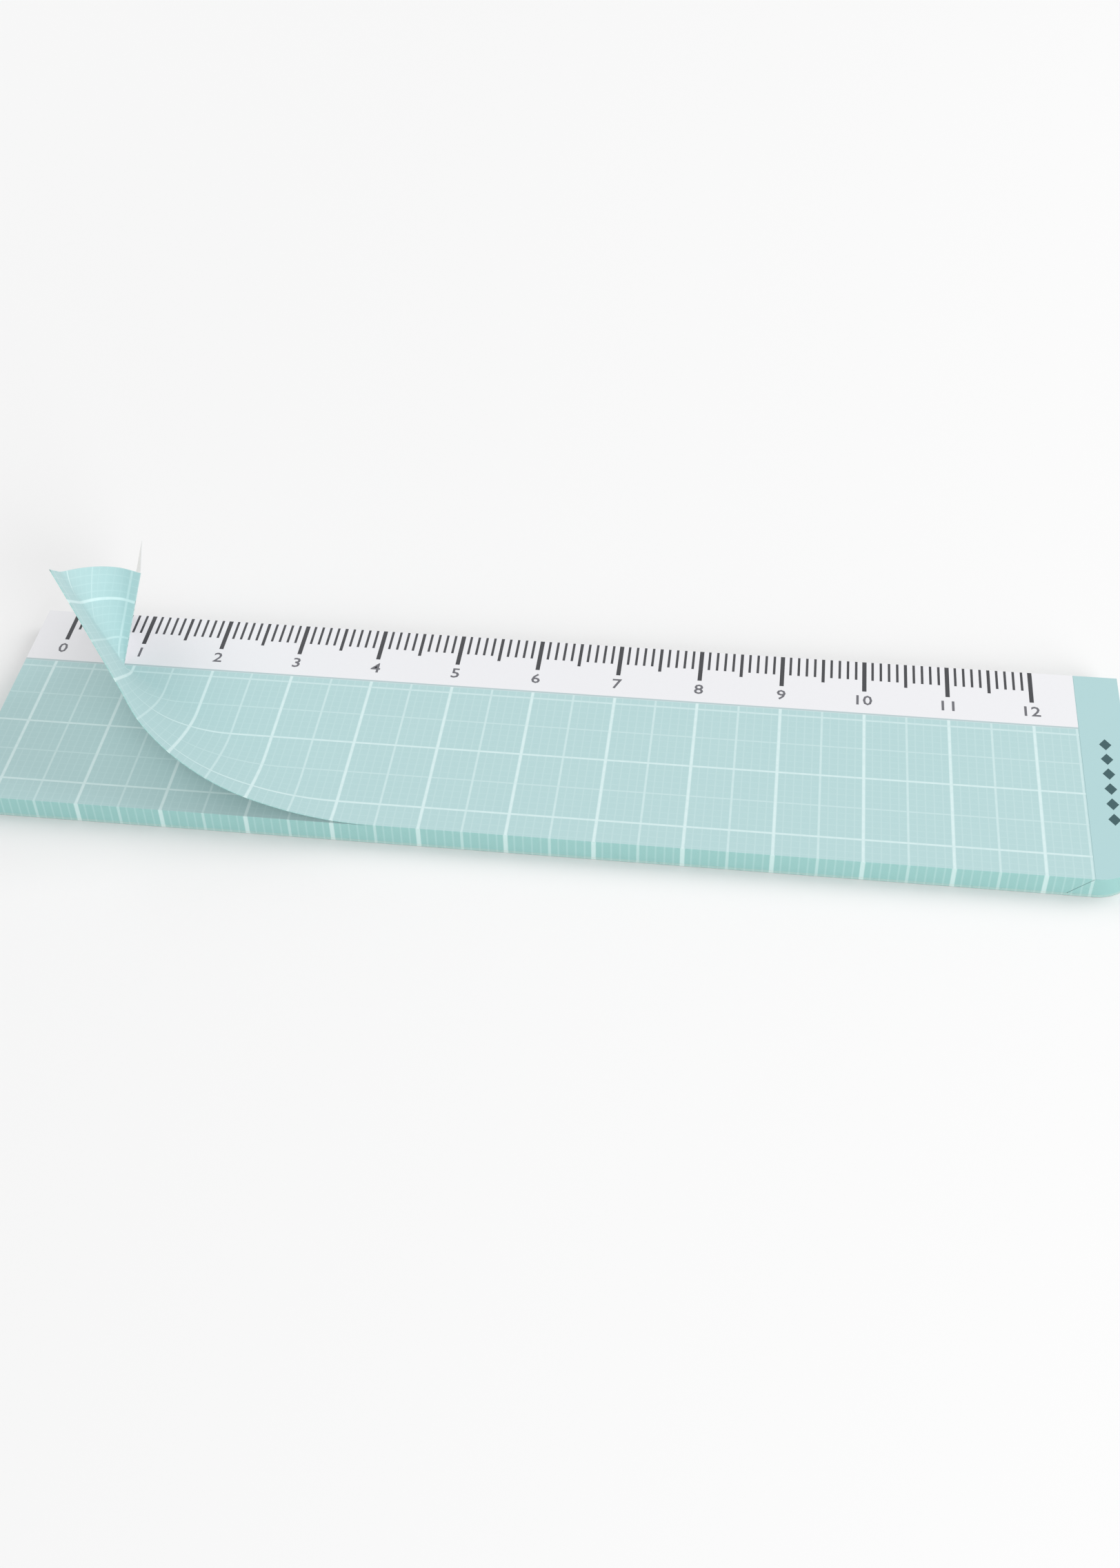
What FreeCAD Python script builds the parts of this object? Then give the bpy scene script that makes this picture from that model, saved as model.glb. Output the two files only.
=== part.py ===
"""Ruler-shaped pad of printed paper slips: a backing card, 25 slips glued together at one end, top slip curled up.

Frame: origin at the centre of the card's underside, +X towards the bound end, +Y towards the scale edge, +Z up, mm.
"""
import FreeCAD, Part
import math
import os

os.makedirs("parts", exist_ok=True)

# ---- driving dimensions (mm) ----
LENGTH = 134.5            # left end to bound end
WIDTH = 34.2              # front edge to scale edge
CARD_T = 0.35             # backing card
SLIPS = 25                # paper slips on the card
PITCH = 0.10              # one slip with its share of air or adhesive
PAPER_T = 0.085           # paper thickness
FILM_T = 0.015            # adhesive film between the bound ends
BAND = 5.3                # width of the bound end band
FILM_INSET = 0.6          # adhesive stays this far inside the paper's edges
CORNER_R = 5.0            # rounded front corner at the bound end
TURN_STEP = 0.11          # each lower slip turns on a line this much further left
SLIT = 0.05               # half of the clear gap at a bend line

# ---- the top slip's curl: a cone of straight bend lines that meet at one point on the edge of the scale strip ----
ZERO_X = 63.25            # the scale's zero line is this far left of the middle
MID_Y = 3.665             # the grid's middle line is this far in front of the middle of the width
POINT = (8.7, 11.06)      # where the bend lines meet, from the zero line and the grid's middle line
FRONT_HITS = [48.0, 40.5, 33.5, 27.0, 21.0, 15.5]   # where they leave through the front edge
END_HITS = [-8.0, -1.0, 4.5, 8.2]                   # where they leave through the left end
BENDS = [4.0, 14.6, 13.0, 15.6, 14.0, 15.4, 4.0, 36.3, 36.3]   # bend at each line, degrees; the last one closes the cone
TAB_BACK_HIT = 6.5        # the scale strip's own bend line leaves through the back edge here
POINT_R = 0.6             # paper left out around the meeting point
TAB_TRIM = 4.6            # degrees trimmed off the tab beside the cone, so that they pass each other
LAST_TRIM = 1.0           # degrees trimmed off the last facet, for the same reason

X0, X1 = -LENGTH / 2, LENGTH / 2
Y0, Y1 = -WIDTH / 2, WIDTH / 2
TOP = CARD_T + SLIPS * PITCH
AX, AY = POINT[0] - ZERO_X, POINT[1] - MID_Y


def vec(x, y, z):
    return FreeCAD.Vector(x, y, z)


def slab(points, z0, thick):
    """A flat plate over a closed outline of (x, y) points, from z0 up."""
    pts = [vec(x, y, z0) for x, y in points]
    wire = Part.makePolygon(pts + [pts[0]])
    return Part.Face(wire).extrude(vec(0, 0, thick))


def end_piece(x_left, z0, thick):
    """The right-hand part of the outline, from x_left to the bound end, with its rounded front corner."""
    xr, yf, yb = X1, Y0, Y1
    r = CORNER_R
    c = vec(xr - r, yf + r, z0)
    s = math.sqrt(0.5)
    edges = [
        Part.makeLine(vec(x_left, yf, z0), vec(xr - r, yf, z0)),
        Part.Arc(vec(xr - r, yf, z0), vec(c.x + r * s, c.y - r * s, z0), vec(xr, yf + r, z0)).toShape(),
        Part.makeLine(vec(xr, yf + r, z0), vec(xr, yb, z0)),
        Part.makeLine(vec(xr, yb, z0), vec(x_left, yb, z0)),
        Part.makeLine(vec(x_left, yb, z0), vec(x_left, yf, z0)),
    ]
    return Part.Face(Part.Wire(edges)).extrude(vec(0, 0, thick))


def film_outline():
    """The adhesive under one bound end: a strip inside the band with its front corner cut off straight."""
    xl, xr, yf, yb = X1 - BAND + FILM_INSET, X1 - FILM_INSET, Y0 + FILM_INSET, Y1 - FILM_INSET
    cut = min(CORNER_R * 0.7, xr - xl - 0.5)
    return [(xl, yf), (xr - cut, yf), (xr, yf + cut), (xr, yb), (xl, yb)]


def save(shape, name):
    shape.exportStep("parts/" + name + ".step")


def slip_z(n):
    """Underside of slip n, where slip 1 is the top one."""
    return TOP - (n - 1) * PITCH - PAPER_T


def turn_x(n):
    """The line slip n turns on. Lower slips turn further left, so that turned slips lie beside each other."""
    return X1 - BAND - (n - 1) * TURN_STEP


# ---- the cone ----
def unit(a):
    return (math.cos(math.radians(a)), math.sin(math.radians(a)))


def bearing(x, y):
    return math.degrees(math.atan2(y - AY, x - AX)) % 360.0


RAYS = [bearing(x - ZERO_X, Y0) for x in FRONT_HITS] + [bearing(X0, y - MID_Y) for y in END_HITS] + [180.0]
TAB_RAY = bearing(TAB_BACK_HIT - ZERO_X, Y1)


def mat_mul(a, b):
    return [[sum(a[i][k] * b[k][j] for k in range(3)) for j in range(3)] for i in range(3)]


def mat_vec(a, v):
    return [sum(a[i][k] * v[k] for k in range(3)) for i in range(3)]


def about(d, deg):
    x, y, z = d
    a = math.radians(deg)
    c, s = math.cos(a), math.sin(a)
    t = 1 - c
    return [
        [t * x * x + c, t * x * y - s * z, t * x * z + s * y],
        [t * x * y + s * z, t * y * y + c, t * y * z - s * x],
        [t * x * z - s * y, t * y * z + s * x, t * z * z + c],
    ]


def cone(bends):
    """Each facet's rotation about the meeting point, and each bend line's direction in space."""
    r = [[1, 0, 0], [0, 1, 0], [0, 0, 1]]
    turns, lines = [], []
    for ray, bend in zip(RAYS, bends):
        ux, uy = unit(ray)
        d = mat_vec(r, [ux, uy, 0])
        r = mat_mul(about(d, -bend), r)
        turns.append(r)
        lines.append(d)
    return turns, lines


HX, HY = unit(TAB_RAY)
WANT = math.cos(math.radians(180.0 - TAB_RAY))


def closing(last):
    """Zero when the last facet's edge is as far from the tab's bend line as it is on the flat slip."""
    turns, _ = cone(BENDS + [last])
    b = mat_vec(turns[-1], [-1, 0, 0])
    return b[0] * HX + b[1] * HY - WANT


lo, hi = 20.0, 60.0
f_lo = closing(lo)
for _ in range(60):
    mid = (lo + hi) / 2
    if (closing(mid) > 0) == (f_lo > 0):
        lo = mid
    else:
        hi = mid
LAST = (lo + hi) / 2
BENDS_ALL = BENDS + [LAST]
TURNS, LINES = cone(BENDS_ALL)
EDGE = mat_vec(TURNS[-1], [-1, 0, 0])
# the tab's bend: turns the flat slip's strip up until its edge meets the last facet's edge
PX, PY = -HY, HX
along = EDGE[0] * PX + EDGE[1] * PY
TAB_BEND = math.degrees(math.atan2(EDGE[2], along))
TAB_TURN = about([HX, HY, 0], TAB_BEND)


def line_hit(ray, side):
    """Where a bend line, moved sideways by the slit, starts near the point and leaves the slip. side +1 is anticlockwise."""
    ux, uy = unit(ray)
    ox, oy = -uy * side * SLIT, ux * side * SLIT
    sx, sy = AX + ox, AY + oy
    best = 1e9
    for axis, lim in ((0, X0), (1, Y0), (1, Y1)):
        d = (ux, uy)[axis]
        s = (sx, sy)[axis]
        if abs(d) > 1e-9:
            t = (lim - s) / d
            if t > 1e-6:
                best = min(best, t)
    return (sx + ux * best, sy + uy * best), (sx, sy), (ux, uy)


def wedge(ray_hi, ray_lo):
    """Outline of the slip between two rays around the point, clockwise edge to anticlockwise edge."""
    out_lo, s_lo, u_lo = line_hit(ray_lo, +1)
    out_hi, s_hi, u_hi = line_hit(ray_hi, -1)
    r = max(POINT_R, 1.5 * SLIT / math.sin(math.radians((ray_hi - ray_lo) / 2)))
    pts = [(s_lo[0] + u_lo[0] * r, s_lo[1] + u_lo[1] * r), out_lo]
    for cx, cy in ((X0, Y1), (X0, Y0)):
        if ray_lo < bearing(cx, cy) < ray_hi:
            pts.append((cx, cy))
    pts += [out_hi, (s_hi[0] + u_hi[0] * r, s_hi[1] + u_hi[1] * r)]
    return pts


def lifted(points, turn):
    """A facet of the top slip, cut flat at the pad's top and then turned about the meeting point."""
    s = slab([(x - AX, y - AY) for x, y in points], -PAPER_T, PAPER_T)
    m = FreeCAD.Matrix(
        turn[0][0], turn[0][1], turn[0][2], AX,
        turn[1][0], turn[1][1], turn[1][2], AY,
        turn[2][0], turn[2][1], turn[2][2], TOP,
        0, 0, 0, 1,
    )
    s.Placement = FreeCAD.Placement(m)
    return s


# ---- the fixed body: card, bound ends, adhesive ----
save(end_piece(X0, 0.0, CARD_T), "backing_card")
ends, films = [], []
for n in range(1, SLIPS + 1):
    ends.append(end_piece(turn_x(n) + SLIT, slip_z(n), PAPER_T))
    films.append(slab(film_outline(), slip_z(n) - FILM_T, FILM_T))
save(Part.makeCompound(ends), "slip_bound_ends")
save(Part.makeCompound(films), "adhesive_strips")

# ---- slips 2 to 25 ----
for n in range(2, SLIPS + 1):
    x = turn_x(n) - SLIT
    leaf = slab([(X0, Y0), (x, Y0), (x, Y1), (X0, Y1)], slip_z(n), PAPER_T)
    save(leaf, "slip_%02d" % n)

# ---- slip 1: flat length, curled facets, lifted end of the scale strip ----
front_out, f_start, f_dir = line_hit(RAYS[0], +1)
back_out, b_start, b_dir = line_hit(TAB_RAY, -1)
x = turn_x(1) - SLIT
flat = [
    front_out, (x, Y0), (x, Y1), back_out,
    (b_start[0] + b_dir[0] * POINT_R, b_start[1] + b_dir[1] * POINT_R),
    (f_start[0] + f_dir[0] * POINT_R, f_start[1] + f_dir[1] * POINT_R),
]
save(slab(flat, slip_z(1), PAPER_T), "slip_01_flat")
for k in range(len(BENDS_ALL)):
    hi_ray, lo_ray = RAYS[k], RAYS[k + 1]
    if k == len(BENDS_ALL) - 1:
        lo_ray += LAST_TRIM
    save(lifted(wedge(hi_ray, lo_ray), TURNS[k]), "slip_01_curl_%02d" % (k + 1))
save(lifted(wedge(180.0 - TAB_TRIM, TAB_RAY), TAB_TURN), "slip_01_scale_tab")
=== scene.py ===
import bmesh
import bpy
import math
from mathutils import Matrix, Vector


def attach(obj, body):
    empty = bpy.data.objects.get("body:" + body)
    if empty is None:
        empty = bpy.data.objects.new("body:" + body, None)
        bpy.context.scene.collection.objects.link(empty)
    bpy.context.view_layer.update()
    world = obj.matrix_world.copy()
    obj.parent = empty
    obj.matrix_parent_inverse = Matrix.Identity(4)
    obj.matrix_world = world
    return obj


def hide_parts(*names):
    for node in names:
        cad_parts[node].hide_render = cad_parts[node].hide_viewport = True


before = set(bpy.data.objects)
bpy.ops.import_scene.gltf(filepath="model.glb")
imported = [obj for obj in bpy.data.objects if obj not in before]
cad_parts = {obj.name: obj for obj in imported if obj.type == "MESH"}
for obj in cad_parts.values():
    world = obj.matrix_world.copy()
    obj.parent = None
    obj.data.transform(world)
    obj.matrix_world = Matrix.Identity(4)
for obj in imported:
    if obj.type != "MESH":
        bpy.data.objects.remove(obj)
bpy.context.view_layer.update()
MM = 0.001

# ---------------------------------------------------------------- the pad's own numbers (mm)
LENGTH, WIDTH, CARD_T, SLIPS, PITCH, PAPER_T = 134.5, 34.2, 0.35, 25, 0.10, 0.085
BAND, TURN_STEP, SLIT = 5.3, 0.11, 0.05
ZERO_X, MID_Y = 63.25, 3.665
POINT = (8.7, 11.06)
FRONT_HITS = [48.0, 40.5, 33.5, 27.0, 21.0, 15.5]
END_HITS = [-8.0, -1.0, 4.5, 8.2]
BENDS = [4.0, 14.6, 13.0, 15.6, 14.0, 15.4, 4.0, 36.3, 36.3]
TAB_BACK_HIT = 6.5
X0, X1 = -LENGTH / 2, LENGTH / 2
Y0, Y1 = -WIDTH / 2, WIDTH / 2
TOP = CARD_T + SLIPS * PITCH
AX, AY = POINT[0] - ZERO_X, POINT[1] - MID_Y
INK_UP = 0.008
EDGE_Y = 11.06            # the scale strip starts here
BAND_X = 125.2            # the plain end band starts here


def slip_top(n):
    return TOP - (n - 1) * PITCH


def turn_x(n):
    return X1 - BAND - (n - 1) * TURN_STEP


def unit(a):
    return Vector((math.cos(math.radians(a)), math.sin(math.radians(a)), 0.0))


def bearing(x, y):
    return math.degrees(math.atan2(y - AY, x - AX)) % 360.0


RAYS = [bearing(x - ZERO_X, Y0) for x in FRONT_HITS] + [bearing(X0, y - MID_Y) for y in END_HITS] + [180.0]
TAB_RAY = bearing(TAB_BACK_HIT - ZERO_X, Y1)
APEX = Vector((AX, AY, TOP))


def about(d, deg):
    return Matrix.Rotation(math.radians(deg), 3, Vector(d))


def cone(bends):
    r = Matrix.Identity(3)
    turns, lines = [], []
    for ray, bend in zip(RAYS, bends):
        d = r @ unit(ray)
        r = about(d, -bend) @ r
        turns.append(r.copy())
        lines.append(d)
    return turns, lines


H = unit(TAB_RAY)
WANT = math.cos(math.radians(180.0 - TAB_RAY))


def closing(last):
    turns, _ = cone(BENDS + [last])
    b = turns[-1] @ Vector((-1, 0, 0))
    return b.x * H.x + b.y * H.y - WANT


lo, hi = 20.0, 60.0
f_lo = closing(lo)
for _ in range(60):
    mid = (lo + hi) / 2
    if (closing(mid) > 0) == (f_lo > 0):
        lo = mid
    else:
        hi = mid
BENDS_ALL = BENDS + [(lo + hi) / 2]
TURNS, LINES = cone(BENDS_ALL)
EDGE = TURNS[-1] @ Vector((-1, 0, 0))
TAB_BEND = math.degrees(math.atan2(EDGE.z, EDGE.x * -H.y + EDGE.y * H.x))
TAB_TURN = about(H, TAB_BEND)


# ---------------------------------------------------------------- node building
def lin(v):
    v = v / 255.0
    return v / 12.92 if v <= 0.04045 else ((v + 0.055) / 1.055) ** 2.4


def rgb(r, g, b):
    return (lin(r), lin(g), lin(b), 1.0)


class Graph:
    """Writes a material's nodes."""

    def __init__(self, name):
        self.mat = bpy.data.materials.new(name)
        self.mat.use_nodes = True
        self.t = self.mat.node_tree
        self.t.nodes.clear()
        self.out = self.t.nodes.new("ShaderNodeOutputMaterial")
        self.bsdf = self.t.nodes.new("ShaderNodeBsdfPrincipled")
        self.t.links.new(self.bsdf.outputs[0], self.out.inputs[0])
        self.coord = self.t.nodes.new("ShaderNodeTexCoord")

    def put(self, v, socket):
        if isinstance(v, (int, float)):
            socket.default_value = v
        elif isinstance(v, tuple):
            socket.default_value = v
        else:
            self.t.links.new(v, socket)

    def m(self, op, a, b=None, c=None, clamp=False):
        n = self.t.nodes.new("ShaderNodeMath")
        n.operation = op
        n.use_clamp = clamp
        for i, v in enumerate((a, b, c)):
            if v is not None:
                self.put(v, n.inputs[i])
        return n.outputs[0]

    def step(self, v, a, b, lo=0.0, hi=1.0):
        """lo below a, hi above b, smooth between."""
        n = self.t.nodes.new("ShaderNodeMapRange")
        n.interpolation_type = "SMOOTHSTEP"
        self.put(v, n.inputs[0])
        n.inputs[1].default_value = a
        n.inputs[2].default_value = b
        n.inputs[3].default_value = lo
        n.inputs[4].default_value = hi
        return n.outputs[0]

    def mix(self, f, a, b, mode="MIX"):
        n = self.t.nodes.new("ShaderNodeMix")
        n.data_type = "RGBA"
        n.blend_type = mode
        self.put(f, n.inputs[0])
        self.put(a, n.inputs[6])
        self.put(b, n.inputs[7])
        return n.outputs[2]

    def noise(self, vec, scale, detail=3.0, rough=0.55):
        n = self.t.nodes.new("ShaderNodeTexNoise")
        self.put(vec, n.inputs["Vector"])
        n.inputs["Scale"].default_value = scale
        n.inputs["Detail"].default_value = detail
        n.inputs["Roughness"].default_value = rough
        return n.outputs[0]

    def line(self, v, period, half, soft):
        """1 on the lines at every multiple of period, 0 elsewhere."""
        d = self.m("PINGPONG", v, period / 2)
        return self.step(d, half - soft, half + soft, 1.0, 0.0)

    def split(self, v):
        n = self.t.nodes.new("ShaderNodeSeparateXYZ")
        self.put(v, n.inputs[0])
        return n.outputs

    def bump(self, height, strength, distance):
        n = self.t.nodes.new("ShaderNodeBump")
        n.inputs["Strength"].default_value = strength
        n.inputs["Distance"].default_value = distance
        self.put(height, n.inputs["Height"])
        self.put(n.outputs[0], self.bsdf.inputs["Normal"])


TEAL = rgb(175, 206, 207)
TEAL_SIDE = rgb(154, 202, 198)
LIGHT = rgb(222, 240, 240)
LIGHT_SIDE = rgb(206, 232, 230)
STRIP = rgb(230, 230, 233)
BAND_TEAL = rgb(170, 204, 206)
PAPER_BACK = rgb(248, 248, 245)


def print_colour(g, X, Y, fibre, cloud):
    """The slip's printed face at X, Y (mm from the zero line and the grid's middle line)."""
    tone = g.m("ADD", g.m("MULTIPLY", cloud, 0.10), g.m("MULTIPLY", fibre, 0.05))
    teal = g.mix(g.m("ADD", tone, 0.0), TEAL, rgb(196, 222, 221))
    cross = g.m("MAXIMUM", g.m("MULTIPLY", g.line(X, 10, 0.18, 0.08), 0.70),
                g.m("MAXIMUM", g.m("MULTIPLY", g.line(X, 5, 0.13, 0.06), 0.42),
                    g.m("MULTIPLY", g.line(X, 1, 0.07, 0.05), 0.15)))
    along = g.m("MAXIMUM", g.m("MULTIPLY", g.line(Y, 10, 0.14, 0.06), g.step(Y, 5.0, 6.0, 0.62, 0.42)),
                g.m("MAXIMUM", g.m("MULTIPLY", g.line(Y, 5, 0.10, 0.05), 0.30),
                    g.m("MULTIPLY", g.line(Y, 1, 0.06, 0.05), 0.10)))
    worn = g.step(fibre, 0.30, 0.62, 0.82, 1.0)
    lines = g.m("MULTIPLY", g.m("MAXIMUM", cross, along), worn)
    grid = g.mix(lines, teal, LIGHT)
    strip = g.mix(g.m("MULTIPLY", fibre, 0.10), STRIP, rgb(226, 226, 228))
    edge = g.m("MULTIPLY", g.step(Y, EDGE_Y - 0.02, EDGE_Y + 0.06),
               g.step(Y, EDGE_Y + 0.22, EDGE_Y + 0.34, 1.0, 0.0))
    strip = g.mix(g.m("MULTIPLY", edge, 0.85), strip, rgb(166, 190, 192))
    face = g.mix(g.step(Y, EDGE_Y - 0.03, EDGE_Y + 0.03), grid, strip)
    band = g.mix(tone, BAND_TEAL, rgb(186, 214, 215))
    return g.mix(g.step(X, BAND_X - 0.03, BAND_X + 0.03), face, band)


def paper_finish(g, obj, fibre, cloud):
    g.put(g.m("ADD", 0.58, g.m("MULTIPLY", fibre, 0.22)), g.bsdf.inputs["Roughness"])
    g.bsdf.inputs["Specular IOR Level"].default_value = 0.32
    fine = g.noise(obj, 5200.0, 2.0, 0.6)
    g.bump(g.m("ADD", g.m("MULTIPLY", fine, 0.5), fibre), 0.35, 0.00003)


def side_colour(g, X, Y, Z, Ny, fibre):
    """Cut edges: the print bleeds to the edge, so the lines show as stripes down the stack."""
    stripes = g.m("MAXIMUM", g.m("MULTIPLY", g.line(X, 10, 0.26, 0.07), 0.95),
                  g.m("MAXIMUM", g.m("MULTIPLY", g.line(X, 5, 0.17, 0.06), 0.60),
                      g.m("MULTIPLY", g.line(X, 1, 0.09, 0.06), 0.30)))
    stripes = g.m("MULTIPLY", stripes, g.step(X, BAND_X, BAND_X + 0.05, 1.0, 0.0))
    shade = g.mix(g.m("MULTIPLY", fibre, 0.35), TEAL_SIDE, rgb(150, 194, 191))
    front = g.mix(stripes, shade, LIGHT_SIDE)
    back_ink = g.m("MAXIMUM", g.line(X, 10, 0.27, 0.06),
                   g.m("MAXIMUM", g.m("MULTIPLY", g.line(X, 5, 0.20, 0.06), 0.85),
                       g.m("MULTIPLY", g.line(X, 1, 0.15, 0.06), 0.65)))
    inside = g.m("MULTIPLY", g.step(X, -0.4, -0.3), g.step(X, 120.4, 120.5, 1.0, 0.0))
    back = g.mix(g.m("MULTIPLY", g.m("MULTIPLY", back_ink, inside), 0.75),
                 g.mix(g.m("MULTIPLY", fibre, 0.25), rgb(230, 232, 233), rgb(212, 216, 218)), rgb(84, 88, 92))
    back = g.mix(g.step(X, BAND_X, BAND_X + 0.05), back, shade)
    return g.mix(g.step(Y, EDGE_Y - 0.05, EDGE_Y + 0.05), front, back)


def printed_material(name):
    """For flat slips in the row frame: the face, the cut edges and the bare underside by the surface's direction."""
    g = Graph(name)
    obj = g.coord.outputs["Object"]
    xyz = g.split(obj)
    X = g.m("MULTIPLY_ADD", xyz[0], 1000.0, ZERO_X)
    Y = g.m("MULTIPLY_ADD", xyz[1], 1000.0, MID_Y)
    N = g.split(g.coord.outputs["Normal"])
    fibre = g.noise(obj, 1500.0, 4.0, 0.6)
    cloud = g.noise(obj, 160.0, 2.0, 0.5)
    face = print_colour(g, X, Y, fibre, cloud)
    side = side_colour(g, X, Y, xyz[2], N[1], fibre)
    under = g.mix(g.m("MULTIPLY", fibre, 0.3), PAPER_BACK, rgb(232, 233, 229))
    under = g.mix(0.10, under, face)
    colour = g.mix(g.step(N[2], 0.4, 0.6), side, face)
    colour = g.mix(g.step(N[2], -0.6, -0.4, 1.0, 0.0), colour, under)
    g.put(colour, g.bsdf.inputs["Base Color"])
    paper_finish(g, obj, fibre, cloud)
    return g.mat


def patch_material(name, part):
    """For the curled part: the same print from the flat slip's own coordinates, kept in a UV map."""
    g = Graph(name)
    obj = g.coord.outputs["Object"]
    uv = g.t.nodes.new("ShaderNodeUVMap")
    uv.uv_map = "flat"
    f = g.split(uv.outputs[0])
    x = g.m("MULTIPLY_ADD", f[0], 200.0, -100.0)
    y = g.m("MULTIPLY_ADD", f[1], 200.0, -100.0)
    X = g.m("ADD", x, ZERO_X)
    Y = g.m("ADD", y, MID_Y)
    fibre = g.noise(obj, 1500.0, 4.0, 0.6)
    cloud = g.noise(obj, 160.0, 2.0, 0.5)
    if part == "side":
        colour = side_colour(g, X, Y, 0.0, 0.0, fibre)
    else:
        colour = print_colour(g, X, Y, fibre, cloud)
        if part == "under":
            bare = g.mix(g.m("MULTIPLY", fibre, 0.3), PAPER_BACK, rgb(232, 233, 229))
            colour = g.mix(0.10, bare, colour)
    g.put(colour, g.bsdf.inputs["Base Color"])
    paper_finish(g, obj, fibre, cloud)
    return g.mat


PRINT = printed_material("printed_slip")
FACE = patch_material("printed_curl_face", "face")
UNDER = patch_material("printed_curl_underside", "under")
SIDE = patch_material("printed_curl_edge", "side")

g = Graph("scale_ink")
g.bsdf.inputs["Base Color"].default_value = rgb(62, 63, 67)
ink_obj = g.coord.outputs["Object"]
g.put(g.m("ADD", 0.45, g.m("MULTIPLY", g.noise(ink_obj, 2600.0), 0.3)), g.bsdf.inputs["Roughness"])
g.bump(g.noise(ink_obj, 4200.0, 2.0), 0.3, 0.00002)
INK = g.mat

g = Graph("numeral_ink")
g.bsdf.inputs["Base Color"].default_value = rgb(104, 104, 110)
ink_obj = g.coord.outputs["Object"]
g.put(g.m("ADD", 0.45, g.m("MULTIPLY", g.noise(ink_obj, 2600.0), 0.3)), g.bsdf.inputs["Roughness"])
g.bump(g.noise(ink_obj, 4200.0, 2.0), 0.3, 0.00002)
NUMERAL = g.mat

g = Graph("band_ink")
g.bsdf.inputs["Base Color"].default_value = rgb(50, 86, 90)
ink_obj = g.coord.outputs["Object"]
g.put(g.m("ADD", 0.45, g.m("MULTIPLY", g.noise(ink_obj, 2600.0), 0.3)), g.bsdf.inputs["Roughness"])
g.bump(g.noise(ink_obj, 4200.0, 2.0), 0.3, 0.00002)
BAND_INK = g.mat

g = Graph("grey_board")
obj = g.coord.outputs["Object"]
N = g.split(g.coord.outputs["Normal"])
xyz = g.split(obj)
fibre = g.noise(obj, 900.0, 5.0, 0.65)
flecks = g.step(g.noise(obj, 2600.0, 1.0), 0.63, 0.70)
board = g.mix(fibre, rgb(176, 174, 166), rgb(214, 212, 204))
board = g.mix(g.m("MULTIPLY", flecks, 0.5), board, rgb(128, 126, 120))
edge = side_colour(g, g.m("MULTIPLY_ADD", xyz[0], 1000.0, ZERO_X), g.m("MULTIPLY_ADD", xyz[1], 1000.0, MID_Y), 0.0, 0.0, fibre)
edge = g.mix(0.25, edge, board)
g.put(g.mix(g.step(g.m("ABSOLUTE", N[2]), 0.4, 0.6), edge, board), g.bsdf.inputs["Base Color"])
g.put(g.m("ADD", 0.7, g.m("MULTIPLY", fibre, 0.25)), g.bsdf.inputs["Roughness"])
g.bump(fibre, 0.5, 0.00006)
BOARD = g.mat

g = Graph("padding_glue")
obj = g.coord.outputs["Object"]
film = g.noise(obj, 700.0, 3.0)
g.put(g.mix(film, rgb(214, 222, 214), rgb(238, 240, 232)), g.bsdf.inputs["Base Color"])
g.put(g.m("ADD", 0.22, g.m("MULTIPLY", film, 0.25)), g.bsdf.inputs["Roughness"])
GLUE = g.mat


def wear(node, mat):
    """Gives a CAD node one finish."""
    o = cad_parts[node]
    o.data.materials.clear()
    o.data.materials.append(mat)
    for p in o.data.polygons:
        p.material_index = 0


wear("backing_card", BOARD)
wear("adhesive_strips", GLUE)
wear("slip_bound_ends", PRINT)
for n in range(2, SLIPS + 1):
    wear("slip_%02d" % n, PRINT)


# ---------------------------------------------------------------- meshes
def make(name, verts, faces, mats, mat_index=None, uvs=None, normals=None, smooth=None):
    """verts in mm in the row frame; uvs are flat x, y in mm, one per vertex."""
    me = bpy.data.meshes.new(name)
    me.from_pydata([tuple(c * MM for c in v) for v in verts], [], faces)
    for m in mats:
        me.materials.append(m)
    if mat_index:
        for p, i in zip(me.polygons, mat_index):
            p.material_index = i
    if uvs:
        layer = me.uv_layers.new(name="flat")
        for lp in me.loops:
            x, y = uvs[lp.vertex_index]
            layer.data[lp.index].uv = (x / 200.0 + 0.5, y / 200.0 + 0.5)
    if smooth:
        for p, s in zip(me.polygons, smooth):
            p.use_smooth = s
    me.update()
    me.validate()
    if normals:
        me.normals_split_custom_set_from_vertices([tuple(v) for v in normals])
    o = bpy.data.objects.new(name, me)
    bpy.context.scene.collection.objects.link(o)
    return o


def reach(a):
    """Distance from the meeting point to the flat slip's outline along bearing a."""
    u = unit(a)
    best = 1e9
    for v, s, lims in ((u.x, AX, (X0, turn_x(1))), (u.y, AY, (Y0, Y1))):
        for lim in lims:
            if abs(v) > 1e-9 and (lim - s) / v > 1e-6:
                best = min(best, (lim - s) / v)
    return best


# directions of the rulings in space, and the surface's tangent there, for the smooth curl
KNOTS = RAYS
DIRS = LINES + [EDGE]


def tangents():
    out = []
    for i in range(len(KNOTS)):
        parts = []
        if i == 0:
            parts.append(unit(KNOTS[0] + 90.0))
        else:
            parts.append(TURNS[i - 1] @ unit(KNOTS[i] + 90.0))
        if i < len(KNOTS) - 1:
            parts.append(TURNS[i] @ unit(KNOTS[i] + 90.0))
        t = sum(parts, Vector((0, 0, 0)))
        t -= t.dot(DIRS[i]) * DIRS[i]
        out.append(t.normalized())
    out[0] = unit(KNOTS[0] + 90.0)
    return out


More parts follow.
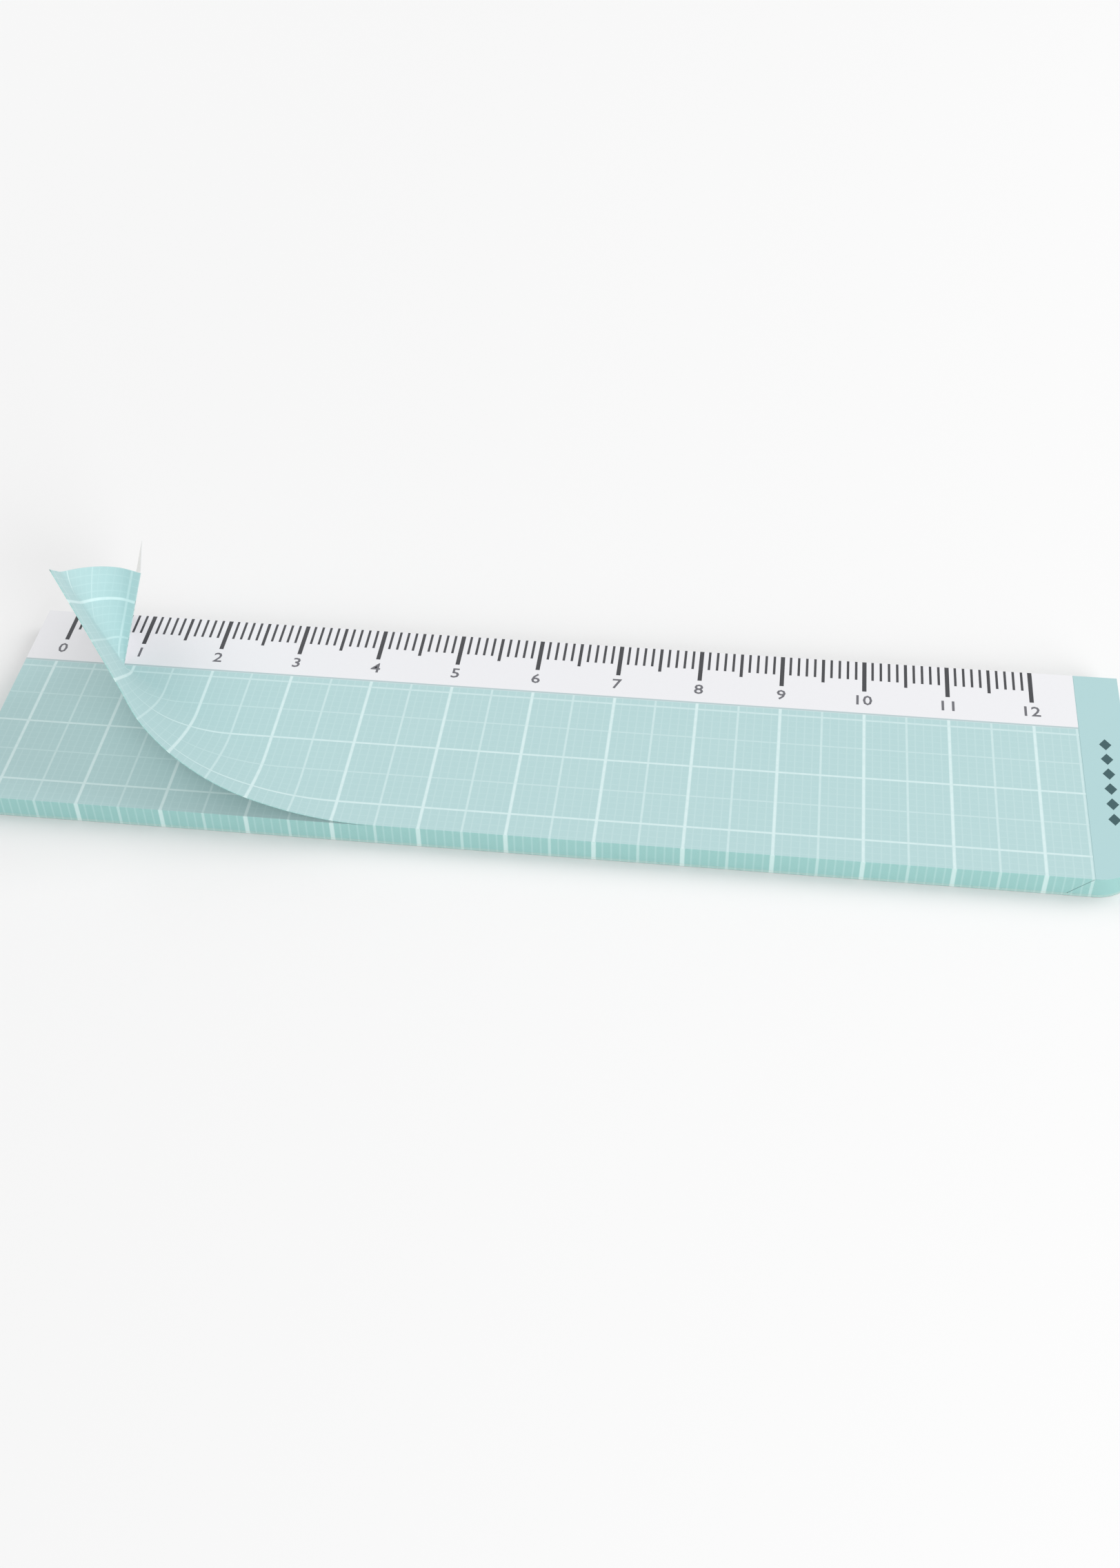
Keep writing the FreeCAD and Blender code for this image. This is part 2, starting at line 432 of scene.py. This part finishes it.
def straight_lines():
    """Bearing on the flat slip, direction in space and tangent of each straight line; a wide facet stays flat in its middle."""
    rows = []
    for i, (a, d, t) in enumerate(zip(KNOTS, DIRS, tangents())):
        rows.append((a, d, t))
        if i < len(KNOTS) - 1 and a - KNOTS[i + 1] > 22.0:
            for b in (a - 11.0, KNOTS[i + 1] + 9.0):
                rows.append((b, TURNS[i] @ unit(b), TURNS[i] @ unit(b + 90.0)))
    return rows


STRAIGHTS = straight_lines()


def on_curl(a):
    """The curled surface at a bearing on the flat slip: its direction from the meeting point, and its tangent."""
    k = 0
    while k < len(STRAIGHTS) - 2 and a < STRAIGHTS[k + 1][0]:
        k += 1
    (a0, p0, t0), (a1, p1, t1) = STRAIGHTS[k], STRAIGHTS[k + 1]
    w = math.radians(a1 - a0)
    s = min(1.0, max(0.0, (a - a0) / (a1 - a0)))
    m0, m1 = t0 * w, t1 * w
    s2, s3 = s * s, s * s * s
    d = p0 * (2 * s3 - 3 * s2 + 1) + m0 * (s3 - 2 * s2 + s) + p1 * (-2 * s3 + 3 * s2) + m1 * (s3 - s2)
    t = p0 * (6 * s2 - 6 * s) + m0 * (3 * s2 - 4 * s + 1) + p1 * (-6 * s2 + 6 * s) + m1 * (3 * s2 - 2 * s)
    d = d.normalized()
    t = t - t.dot(d) * d
    return d, -t.normalized()


def curl_patch(k):
    """One smooth facet of the curl: a cone surface with paper's thickness, its straight borders on the bend lines."""
    a0, a1 = KNOTS[k + 1], KNOTS[k]
    steps = max(8, int(math.ceil((a1 - a0) / 0.8)))
    angles = [a0 + (a1 - a0) * i / steps for i in range(steps + 1)]
    for cx, cy in ((X0, Y0), (X0, Y1)):
        b = bearing(cx, cy)
        if a0 + 0.05 < b < a1 - 0.05:
            j = min(range(1, steps), key=lambda i: abs(angles[i] - b))
            angles[j] = b
    rings = [0.0, 0.02, 0.1, 0.25, 0.4, 0.55, 0.7, 0.85, 1.0]
    verts, uvs, norms, faces, mats, smooth = [], [], [], [], [], []
    cols = []
    for a in angles:
        d, t = on_curl(a)
        n = d.cross(t)
        R = reach(a)
        top, bot = [], []
        for q in rings:
            p = APEX + d * (R * q)
            top.append(len(verts)); verts.append(p); norms.append(n)
            uvs.append((AX + unit(a).x * R * q, AY + unit(a).y * R * q))
        for q in rings:
            p = APEX + d * (R * q) - n * PAPER_T
            bot.append(len(verts)); verts.append(p); norms.append(-n)
            uvs.append((AX + unit(a).x * R * q, AY + unit(a).y * R * q))
        cols.append((top, bot, R))
    for i in range(len(cols) - 1):
        (ta, ba, _), (tb, bb, _) = cols[i], cols[i + 1]
        for j in range(len(rings) - 1):
            if j == 0:
                faces.append((ta[0], ta[1], tb[1])); mats.append(0); smooth.append(True)
                if (verts[ba[0]] - verts[bb[0]]).length > 1e-6:
                    faces.append((ba[0], bb[0], bb[1], ba[1]))
                else:
                    faces.append((ba[0], bb[1], ba[1]))
                mats.append(1); smooth.append(True)
            else:
                faces.append((ta[j], ta[j + 1], tb[j + 1], tb[j])); mats.append(0); smooth.append(True)
                faces.append((ba[j], bb[j], bb[j + 1], ba[j + 1])); mats.append(1); smooth.append(True)
    # cut edges: outer rim, and the two straight borders
    def rim(seq):
        base = []
        for (tv, bv, out_n) in seq:
            i = len(verts)
            verts.append(verts[tv]); norms.append(out_n); uvs.append(uvs[tv])
            verts.append(verts[bv]); norms.append(out_n); uvs.append(uvs[bv])
            base.append((i, i + 1))
        for (t0, b0), (t1, b1) in zip(base, base[1:]):
            faces.append((t0, b0, b1, t1)); mats.append(2); smooth.append(True)
    outer = []
    for i, a in enumerate(angles):
        d, t = on_curl(a)
        u = unit(a)
        p = (AX + u.x * cols[i][2], AY + u.y * cols[i][2])
        flat_n = Vector((-1, 0, 0)) if abs(p[0] - X0) < 1e-4 else Vector((0, -1, 0))
        ca, sa = flat_n.dot(u), flat_n.dot(unit(a + 90.0))
        outer.append((cols[i][0][-1], cols[i][1][-1], (d * ca + t * sa).normalized()))
    rim(outer)
    for (ta, ba, _), (tb, bb, _) in zip(cols, cols[1:]):
        if (verts[ba[0]] - verts[bb[0]]).length <= 1e-6:
            continue
        i = len(verts)
        for v in (ta[0], bb[0], ba[0]):
            verts.append(verts[v]); norms.append(-unit((a0 + a1) / 2)); uvs.append(uvs[v])
        faces.append((i, i + 1, i + 2)); mats.append(2); smooth.append(True)
    for end, sgn in ((0, -1.0), (-1, 1.0)):
        d, t = on_curl(angles[end])
        seq = [(cols[end][0][j], cols[end][1][j], t * sgn) for j in range(len(rings))]
        if end == -1:
            seq = seq[::-1]
        rim(seq)
    return make("top_slip_curl_%02d" % (k + 1), verts, faces, [FACE, UNDER, SIDE], mats, uvs, norms, smooth)


for k in range(len(BENDS_ALL)):
    o = curl_patch(k)
    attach(o, "curl_%02d" % (k + 1))
    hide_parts("slip_01_curl_%02d" % (k + 1))


def prism(name, outline, mats, mat_of, z=TOP, thick=PAPER_T, uv=True):
    """A flat piece of slip: top, underside and cut edges with their own corners."""
    verts, faces, mi, uvs = [], [], [], []
    n = len(outline)
    for zz in (z, z - thick):
        for x, y in outline:
            verts.append(Vector((x, y, zz))); uvs.append((x, y))
    faces.append(tuple(range(n))); mi.append(0)
    faces.append(tuple(range(2 * n - 1, n - 1, -1))); mi.append(1)
    for i in range(n):
        j = (i + 1) % n
        b = len(verts)
        for v in (i, j):
            x, y = outline[v]
            verts.append(Vector((x, y, z))); uvs.append((x, y))
            verts.append(Vector((x, y, z - thick))); uvs.append((x, y))
        faces.append((b, b + 1, b + 3, b + 2)); mi.append(2)
    return verts, faces, mi, uvs


# flat length of the top slip
front_hit = (FRONT_HITS[0] - ZERO_X, Y0)
back_hit = (TAB_BACK_HIT - ZERO_X, Y1)
reach_x = turn_x(1) + 0.035
outline = [front_hit, (reach_x, Y0), (reach_x, Y1), back_hit, (AX, AY)]
v, f, mi, uv = prism("top_slip_flat", outline, None, None)
o = make("top_slip_flat", v, f, [FACE, UNDER, SIDE], mi, uv)
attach(o, "slip_01")
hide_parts("slip_01_flat")

# lifted end of the scale strip, with the rounded outside of its own bend
outline = [(AX, AY), back_hit, (X0, Y1), (X0, AY)]
v, f, mi, uv = prism("top_slip_scale_tab", outline, None, None)


def tab_place(p):
    return APEX + TAB_TURN @ (Vector(p) - APEX)


v = [tab_place(p) for p in v]
run = math.hypot(back_hit[0] - AX, back_hit[1] - AY)
arc = []
for i in range(9):
    q = about(H, TAB_BEND * i / 8) @ Vector((0, 0, -PAPER_T))
    arc.append(q)
base = len(v)
for q in arc + [Vector((0, 0, 0))]:
    for r in (0.0, run):
        v.append(APEX + H * r + q)
        uv.append((AX + H.x * r, AY + H.y * r))
c0, c1 = base + 18, base + 19
for i in range(8):
    a = base + 2 * i
    f.append((a, a + 2, a + 3, a + 1)); mi.append(1)
    f.append((c0, a + 2, a)); mi.append(2)
    f.append((c1, a + 1, a + 3)); mi.append(2)
f.append((c0, base, base + 1, c1)); mi.append(2)
f.append((c0, c1, base + 17, base + 16)); mi.append(2)
o = make("top_slip_scale_tab", v, f, [FACE, UNDER, SIDE], mi, uv)
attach(o, "scale_tab")
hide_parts("slip_01_scale_tab")


# ---------------------------------------------------------------- scale print: ticks and numerals as thin ink
def tick_quads(last_x):
    out = []
    for k in range(0, 121):
        if k > last_x:
            break
        w, length = (0.52, 5.5) if k % 10 == 0 else (0.38, 4.3) if k % 5 == 0 else (0.30, 3.4)
        x, yb = k - ZERO_X, Y1 - 0.02
        out.append([(x - w / 2, yb - length + 0.02), (x + w / 2, yb - length + 0.02), (x + w / 2, yb), (x - w / 2, yb)])
    return out


def glyph(text, cx, cy, height):
    """A numeral as a closed film of ink, centred at cx, cy: (x, y, share of the film's thickness) points and faces."""
    cu = bpy.data.curves.new("numeral", "FONT")
    cu.body = text
    cu.size = 1.0
    cu.resolution_u = 2
    cu.offset = 0.012
    cu.extrude = 0.5
    tmp = bpy.data.objects.new("numeral", cu)
    bpy.context.scene.collection.objects.link(tmp)
    bpy.context.view_layer.update()
    dg = bpy.context.evaluated_depsgraph_get()
    me = bpy.data.meshes.new_from_object(tmp.evaluated_get(dg))
    bm = bmesh.new()
    bm.from_mesh(me)
    bmesh.ops.remove_doubles(bm, verts=bm.verts, dist=1e-5)
    bmesh.ops.recalc_face_normals(bm, faces=bm.faces)
    bm.verts.index_update()
    pts = [(q.co.x, q.co.y, q.co.z + 0.5) for q in bm.verts]
    faces = [tuple(q.index for q in p.verts) for p in bm.faces]
    bm.free()
    bpy.data.objects.remove(tmp)
    bpy.data.curves.remove(cu)
    bpy.data.meshes.remove(me)
    xs, ys = [p[0] for p in pts], [p[1] for p in pts]
    s = height / (max(ys) - min(ys))
    mx, my = (max(xs) + min(xs)) / 2, (max(ys) + min(ys)) / 2
    return [((x - mx) * s + cx, (y - my) * s + cy, z) for x, y, z in pts], faces


NUMERALS = {k: glyph(str(k), 10.0 * k - ZERO_X, Y1 - 7.1, 1.75) for k in range(0, 13)}


def clip(poly, side):
    """The part of a flat polygon to one side of the tab's bend line; side +1 keeps the flat length."""
    nx, ny = H.y, -H.x
    out = []
    m = len(poly)
    for i in range(m):
        a, b = poly[i], poly[(i + 1) % m]
        da = side * ((a[0] - AX) * nx + (a[1] - AY) * ny)
        db = side * ((b[0] - AX) * nx + (b[1] - AY) * ny)
        if da >= 0:
            out.append(a)
        if (da > 0 > db) or (da < 0 < db):
            t = da / (da - db)
            out.append((a[0] + (b[0] - a[0]) * t, a[1] + (b[1] - a[1]) * t))
    return out if len(out) >= 3 else []


def film(poly):
    """A closed film of ink over a flat outline."""
    m = len(poly)
    pts = [(x, y, 1.0) for x, y in poly] + [(x, y, 0.0) for x, y in poly]
    faces = [tuple(range(m)), tuple(range(2 * m - 1, m - 1, -1))]
    for a in range(m):
        b = (a + 1) % m
        faces.append((a, m + a, m + b, b))
    return pts, faces


def ink(name, solids, z, body, place=None, mats=None, grey=()):
    """Printed ink as one piece: closed films that stand a few thousandths of a millimetre proud of the paper."""
    verts, faces, index = [], [], []
    solids = list(solids)
    for k, (pts, fcs) in enumerate(solids + list(grey)):
        base = len(verts)
        for x, y, t in pts:
            p = Vector((x, y, z - 0.002 + t * (INK_UP + 0.002)))
            verts.append(place(p) if place else p)
        for fc in fcs:
            faces.append(tuple(base + q for q in fc))
            index.append(0 if k < len(solids) else 1)
    o = make(name, verts, faces, mats or [INK, NUMERAL], index)
    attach(o, body)
    return o


for n in range(1, SLIPS + 1):
    last = int(turn_x(n) + ZERO_X - 0.4)
    polys = tick_quads(last)
    if n == 1:
        ink("scale_print_01", [film(q) for q in (clip(p, 1) for p in polys) if q], TOP, "slip_01",
            None, None, [NUMERALS[k] for k in range(1, 13)])
        ink("scale_print_tab", [film(q) for q in (clip(p, -1) for p in polys) if q], TOP, "scale_tab",
            tab_place, None, [NUMERALS[0]])
    else:
        ink("scale_print_%02d" % n, [film(p) for p in polys], slip_top(n), "slip_%02d" % n,
            None, None, [NUMERALS[k] for k in range(0, 13)])

# a plain row of diamonds on the end band
marks = []
for i in range(6):
    cx, cy, s = 128.1 - ZERO_X, 8.6 - 2.5 * i - MID_Y, 0.95
    marks.append([(cx - s * 0.75, cy), (cx, cy - s), (cx + s * 0.75, cy), (cx, cy + s)])
ink("band_print", [film(m) for m in marks], TOP, "pad", None, [BAND_INK])


# ---------------------------------------------------------------- stage, light, camera
g = Graph("pale_floor")
obj = g.coord.outputs["Object"]
soft = g.noise(obj, 3.0, 2.0)
g.put(g.mix(soft, rgb(238, 238, 238), rgb(240, 240, 240)), g.bsdf.inputs["Base Color"])
g.put(g.m("ADD", 0.85, g.m("MULTIPLY", soft, 0.1)), g.bsdf.inputs["Roughness"])
g.bsdf.inputs["Specular IOR Level"].default_value = 0.1
FLOOR = g.mat
s = 6.0
me = bpy.data.meshes.new("floor")
me.from_pydata([(-s, -s, -0.00003), (s, -s, -0.00003), (s, s, -0.00003), (-s, s, -0.00003)], [], [(0, 1, 2, 3)])
me.materials.append(FLOOR)
floor = bpy.data.objects.new("floor", me)
bpy.context.scene.collection.objects.link(floor)

world = bpy.data.worlds.new("studio")
bpy.context.scene.world = world
world.use_nodes = True
world.node_tree.nodes["Background"].inputs[0].default_value = (1.0, 1.0, 1.0, 1.0)
world.node_tree.nodes["Background"].inputs[1].default_value = 0.575


def area(name, loc, aim, size, power):
    li = bpy.data.lights.new(name, "AREA")
    li.shape = "DISK"
    li.size = size
    li.energy = power
    o = bpy.data.objects.new(name, li)
    bpy.context.scene.collection.objects.link(o)
    o.location = loc
    o.rotation_mode = "QUATERNION"
    o.rotation_quaternion = (Vector(aim) - Vector(loc)).to_track_quat("-Z", "Y")
    return o


area("key", (0.58, 0.28, 0.54), (0, 0, 0), 0.7, 2.8)
area("front", (0.40, -0.58, 0.24), (-0.03, 0, 0.005), 0.40, 2.7)
area("left", (-0.46, 0.34, 0.50), (-0.05, 0, 0), 0.60, 1.5)

bpy.context.scene.view_settings.view_transform = "Standard"
bpy.context.scene.view_settings.look = "None"

cam_data = bpy.data.cameras.new("camera")
cam_data.sensor_fit = "AUTO"
cam_data.sensor_width = 36.0
cam_data.lens = 43.52
cam_data.clip_start = 0.01
cam_data.clip_end = 50.0
cam = bpy.data.objects.new("camera", cam_data)
bpy.context.scene.collection.objects.link(cam)
EPS = 2.0 / 2749.16
R0 = Vector((0.99283561, 0.11849552, -0.01537093))
R1 = Vector((0.07132037, -0.69089296, -0.71943056))
R2 = Vector((-0.09586896, 0.71318002, -0.69439427))
down = (R1 - EPS * R2).normalized()
ahead = (R2 + EPS * R1).normalized()
right = down.cross(ahead)
up = -down
back = -ahead
cam.matrix_world = Matrix((
    (right.x, up.x, back.x, 0.02293),
    (right.y, up.y, back.y, -0.16456),
    (right.z, up.z, back.z, 0.15529),
    (0, 0, 0, 1),
))
bpy.context.scene.camera = cam
